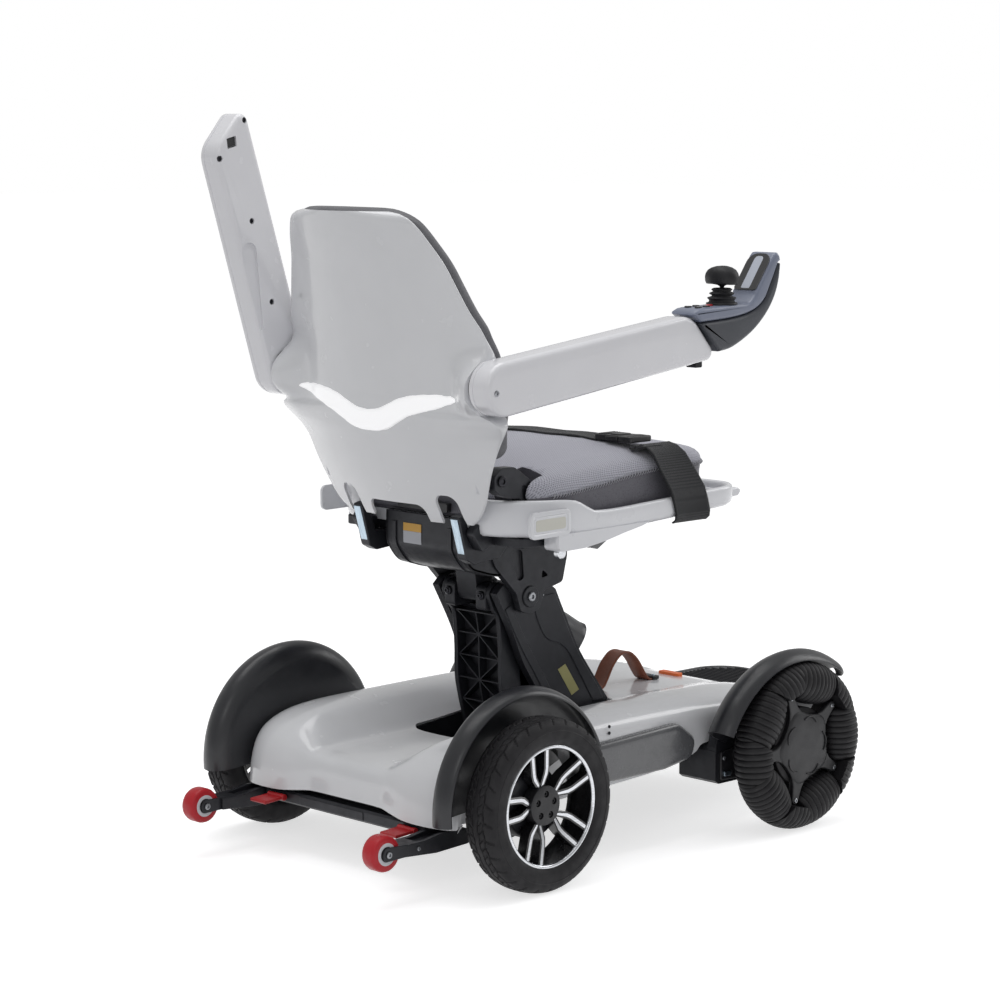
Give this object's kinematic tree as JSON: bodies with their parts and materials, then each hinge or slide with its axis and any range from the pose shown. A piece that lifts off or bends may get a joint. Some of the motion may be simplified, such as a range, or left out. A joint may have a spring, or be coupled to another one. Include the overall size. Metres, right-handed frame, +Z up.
{
  "type": "folding power wheelchair",
  "caption": "Folding battery wheelchair: white shells, seat on a folding column, drive wheels behind, omni wheels in front, flip-up armrests with a joystick handset, anti-tip wheels.",
  "frame": {"origin": "on the floor, under the middle of the chair's length and width", "axes": "+X to the user's left, +Y to the rear, +Z up"},
  "size_m": [0.6184, 1.048, 1.0184],
  "materials": {
    "gloss_white": "gloss",
    "seat_white": "satin",
    "panel_grey": "satin",
    "fender_black": "satin",
    "black_casting": "satin",
    "black_housing": "satin",
    "rubber": "matte",
    "tyre": "matte",
    "rim_black": "gloss",
    "red_plastic": "gloss",
    "leather": "satin",
    "cushion_cloth": "woven",
    "back_cloth": "woven",
    "webbing": "woven",
    "handset_grey": "satin",
    "handset_top": "satin",
    "knob_black": "satin"
  },
  "bodies": {
    "base": {"chassis_frame": "black_casting", "rear_bar": "black_casting", "body_shell": "gloss_white", "battery_pack": "black_housing", "control_module": "black_housing", "carry_strap": "leather", "fold_motor": "black_casting", "side_panel_left": "panel_grey", "side_panel_right": "panel_grey", "rear_fender_left": "fender_black", "rear_fender_right": "fender_black", "front_fender_left": "fender_black", "front_fender_right": "fender_black", "drive_motor_left": "black_casting", "drive_motor_right": "black_casting", "anti_tip_arm_left": "black_casting", "anti_tip_arm_right": "black_casting"},
    "drive_wheel_left": {"drive_tyre_left": "tyre", "drive_rim_left": "rim_black"},
    "omni_wheel_left": {"omni_hub_left": "rubber"},
    "omni_roller_left_1": {"omni_roller_left_1": "rubber"},
    "omni_roller_left_2": {"omni_roller_left_2": "rubber"},
    "omni_roller_left_3": {"omni_roller_left_3": "rubber"},
    "omni_roller_left_4": {"omni_roller_left_4": "rubber"},
    "omni_roller_left_5": {"omni_roller_left_5": "rubber"},
    "anti_tip_wheel_left": {"anti_tip_wheel_left": "red_plastic"},
    "freewheel_lever_left": {"freewheel_lever_left": "red_plastic"},
    "drive_wheel_right": {"drive_tyre_right": "tyre", "drive_rim_right": "rim_black"},
    "omni_wheel_right": {"omni_hub_right": "rubber"},
    "omni_roller_right_1": {"omni_roller_right_1": "rubber"},
    "omni_roller_right_2": {"omni_roller_right_2": "rubber"},
    "omni_roller_right_3": {"omni_roller_right_3": "rubber"},
    "omni_roller_right_4": {"omni_roller_right_4": "rubber"},
    "omni_roller_right_5": {"omni_roller_right_5": "rubber"},
    "anti_tip_wheel_right": {"anti_tip_wheel_right": "red_plastic"},
    "freewheel_lever_right": {"freewheel_lever_right": "red_plastic"},
    "footrest": {"footplate": "fender_black"},
    "leg": {"front_leg": "black_casting"},
    "seat": {"seat_carrier": "black_casting", "seat_shell": "seat_white", "seat_cushion": "cushion_cloth", "lap_belt_left": "webbing", "lap_belt_right": "webbing", "belt_buckle": "knob_black"},
    "strut": {"rear_strut": "black_casting"},
    "seat_release": {"seat_lever": "panel_grey"},
    "backrest": {"back_shell": "gloss_white", "back_cushion": "back_cloth"},
    "armrest_left": {"arm_left": "gloss_white"},
    "armrest_right": {"arm_right": "gloss_white", "controller_base": "handset_grey", "controller_cover": "handset_top"},
    "stick_gimbal": {"joystick_boot": "rubber"},
    "stick": {"joystick": "knob_black"},
    "button_1": {"button_1": "knob_black"},
    "button_2": {"button_2": "knob_black"},
    "button_3": {"button_3": "knob_black"},
    "button_4": {"button_4": "knob_black"},
    "button_5": {"button_5": "red_plastic"}
  },
  "joints": [
    {"name": "drive_wheel_left_spin", "type": "hinge", "parent": "base", "child": "drive_wheel_left", "pos_m": [0.269, 0.296, 0.1165], "axis": [1, 0, 0], "continuous": true},
    {"name": "omni_wheel_left_spin", "type": "hinge", "parent": "base", "child": "omni_wheel_left", "pos_m": [0.279, -0.213, 0.12099], "axis": [1, 0, 0], "continuous": true},
    {"name": "omni_roller_left_1_spin", "type": "hinge", "parent": "omni_wheel_left", "child": "omni_roller_left_1", "pos_m": [0.279, -0.23401, 0.20851], "axis": [0, 0.9724, 0.2334], "continuous": true},
    {"name": "omni_roller_left_2_spin", "type": "hinge", "parent": "omni_wheel_left", "child": "omni_roller_left_2", "pos_m": [0.279, -0.30272, 0.12806], "axis": [0, 0.0785, 0.9969], "continuous": true},
    {"name": "omni_roller_left_3_spin", "type": "hinge", "parent": "omni_wheel_left", "child": "omni_roller_left_3", "pos_m": [0.279, -0.24744, 0.03784], "axis": [0, -0.9239, 0.3827], "continuous": true},
    {"name": "omni_roller_left_4_spin", "type": "hinge", "parent": "omni_wheel_left", "child": "omni_roller_left_4", "pos_m": [0.279, -0.14456, 0.06254], "axis": [0, -0.6494, -0.7604], "continuous": true},
    {"name": "omni_roller_left_5_spin", "type": "hinge", "parent": "omni_wheel_left", "child": "omni_roller_left_5", "pos_m": [0.279, -0.13626, 0.16802], "axis": [0, 0.5225, -0.8526], "continuous": true},
    {"name": "anti_tip_wheel_left_spin", "type": "hinge", "parent": "base", "child": "anti_tip_wheel_left", "pos_m": [0.186, 0.5, 0.072], "axis": [1, 0, 0], "continuous": true},
    {"name": "freewheel_lever_left_turn", "type": "hinge", "parent": "base", "child": "freewheel_lever_left", "pos_m": [0.134, 0.4063, 0.078], "axis": [-1, 0, 0], "range_deg": [0, 30]},
    {"name": "drive_wheel_right_spin", "type": "hinge", "parent": "base", "child": "drive_wheel_right", "pos_m": [-0.269, 0.296, 0.1165], "axis": [1, 0, 0], "continuous": true},
    {"name": "omni_wheel_right_spin", "type": "hinge", "parent": "base", "child": "omni_wheel_right", "pos_m": [-0.279, -0.213, 0.12099], "axis": [1, 0, 0], "continuous": true},
    {"name": "omni_roller_right_1_spin", "type": "hinge", "parent": "omni_wheel_right", "child": "omni_roller_right_1", "pos_m": [-0.279, -0.23401, 0.20851], "axis": [0, 0.9724, 0.2334], "continuous": true},
    {"name": "omni_roller_right_2_spin", "type": "hinge", "parent": "omni_wheel_right", "child": "omni_roller_right_2", "pos_m": [-0.279, -0.30272, 0.12806], "axis": [0, 0.0785, 0.9969], "continuous": true},
    {"name": "omni_roller_right_3_spin", "type": "hinge", "parent": "omni_wheel_right", "child": "omni_roller_right_3", "pos_m": [-0.279, -0.24744, 0.03784], "axis": [0, -0.9239, 0.3827], "continuous": true},
    {"name": "omni_roller_right_4_spin", "type": "hinge", "parent": "omni_wheel_right", "child": "omni_roller_right_4", "pos_m": [-0.279, -0.14456, 0.06254], "axis": [0, -0.6494, -0.7604], "continuous": true},
    {"name": "omni_roller_right_5_spin", "type": "hinge", "parent": "omni_wheel_right", "child": "omni_roller_right_5", "pos_m": [-0.279, -0.13626, 0.16802], "axis": [0, 0.5225, -0.8526], "continuous": true},
    {"name": "anti_tip_wheel_right_spin", "type": "hinge", "parent": "base", "child": "anti_tip_wheel_right", "pos_m": [-0.186, 0.5, 0.072], "axis": [1, 0, 0], "continuous": true},
    {"name": "freewheel_lever_right_turn", "type": "hinge", "parent": "base", "child": "freewheel_lever_right", "pos_m": [-0.134, 0.4063, 0.078], "axis": [-1, 0, 0], "range_deg": [0, 30]},
    {"name": "footplate_flip", "type": "hinge", "parent": "base", "child": "footrest", "pos_m": [0, -0.35, 0.143], "axis": [-1, 0, 0], "range_deg": [0, 85]},
    {"name": "fold", "type": "hinge", "parent": "base", "child": "leg", "pos_m": [0, 0.024, 0.155], "axis": [-1, 0, 0], "range_deg": [0, 45.85]},
    {"name": "seat_level", "type": "hinge", "parent": "leg", "child": "seat", "pos_m": [0, 0.124, 0.35], "axis": [-1, 0, 0], "range_deg": [-45.85, 0]},
    {"name": "strut_swing", "type": "hinge", "parent": "seat", "child": "strut", "pos_m": [0, 0.156, 0.352], "axis": [-1, 0, 0], "range_deg": [0, 55.44]},
    {"name": "seat_lever_turn", "type": "hinge", "parent": "seat", "child": "seat_release", "pos_m": [-0.194, 0.146, 0.445], "axis": [1, 0, 0], "range_deg": [0, 30]},
    {"name": "back_fold", "type": "hinge", "parent": "seat", "child": "backrest", "pos_m": [0, 0.268, 0.531], "axis": [1, 0, 0], "range_deg": [0, 22]},
    {"name": "left_arm_flip", "type": "hinge", "parent": "backrest", "child": "armrest_left", "pos_m": [0.197, 0.322, 0.661], "axis": [-1, 0, 0], "range_deg": [-99, 0]},
    {"name": "right_arm_flip", "type": "hinge", "parent": "backrest", "child": "armrest_right", "pos_m": [-0.197, 0.322, 0.661], "axis": [-1, 0, 0], "range_deg": [0, 95]},
    {"name": "joystick_pitch", "type": "hinge", "parent": "armrest_right", "child": "stick_gimbal", "pos_m": [-0.2205, -0.109, 0.7525], "axis": [1, 0, 0], "range_deg": [-15, 15], "stiffness_Nm_per_rad": 0.25},
    {"name": "joystick_roll", "type": "hinge", "parent": "stick_gimbal", "child": "stick", "pos_m": [-0.2205, -0.109, 0.7525], "axis": [0, 1, 0], "range_deg": [-15, 15], "stiffness_Nm_per_rad": 0.25},
    {"name": "button_1_press", "type": "slide", "parent": "armrest_right", "child": "button_1", "axis": [0, 0, -1], "range_m": [0, 0.0015], "stiffness_N_per_m": 300, "springref_m": -0.002},
    {"name": "button_2_press", "type": "slide", "parent": "armrest_right", "child": "button_2", "axis": [0, 0, -1], "range_m": [0, 0.0015], "stiffness_N_per_m": 300, "springref_m": -0.002},
    {"name": "button_3_press", "type": "slide", "parent": "armrest_right", "child": "button_3", "axis": [0, 0, -1], "range_m": [0, 0.0015], "stiffness_N_per_m": 300, "springref_m": -0.002},
    {"name": "button_4_press", "type": "slide", "parent": "armrest_right", "child": "button_4", "axis": [0, 0, -1], "range_m": [0, 0.0015], "stiffness_N_per_m": 300, "springref_m": -0.002},
    {"name": "button_5_press", "type": "slide", "parent": "armrest_right", "child": "button_5", "axis": [0, 0, -1], "range_m": [0, 0.0015], "stiffness_N_per_m": 300, "springref_m": -0.002}
  ],
  "couplings": [
    {"joint": "seat_level", "follows": "fold", "ratio": -1},
    {"joint": "strut_swing", "follows": "fold", "ratio": 1.209}
  ]
}
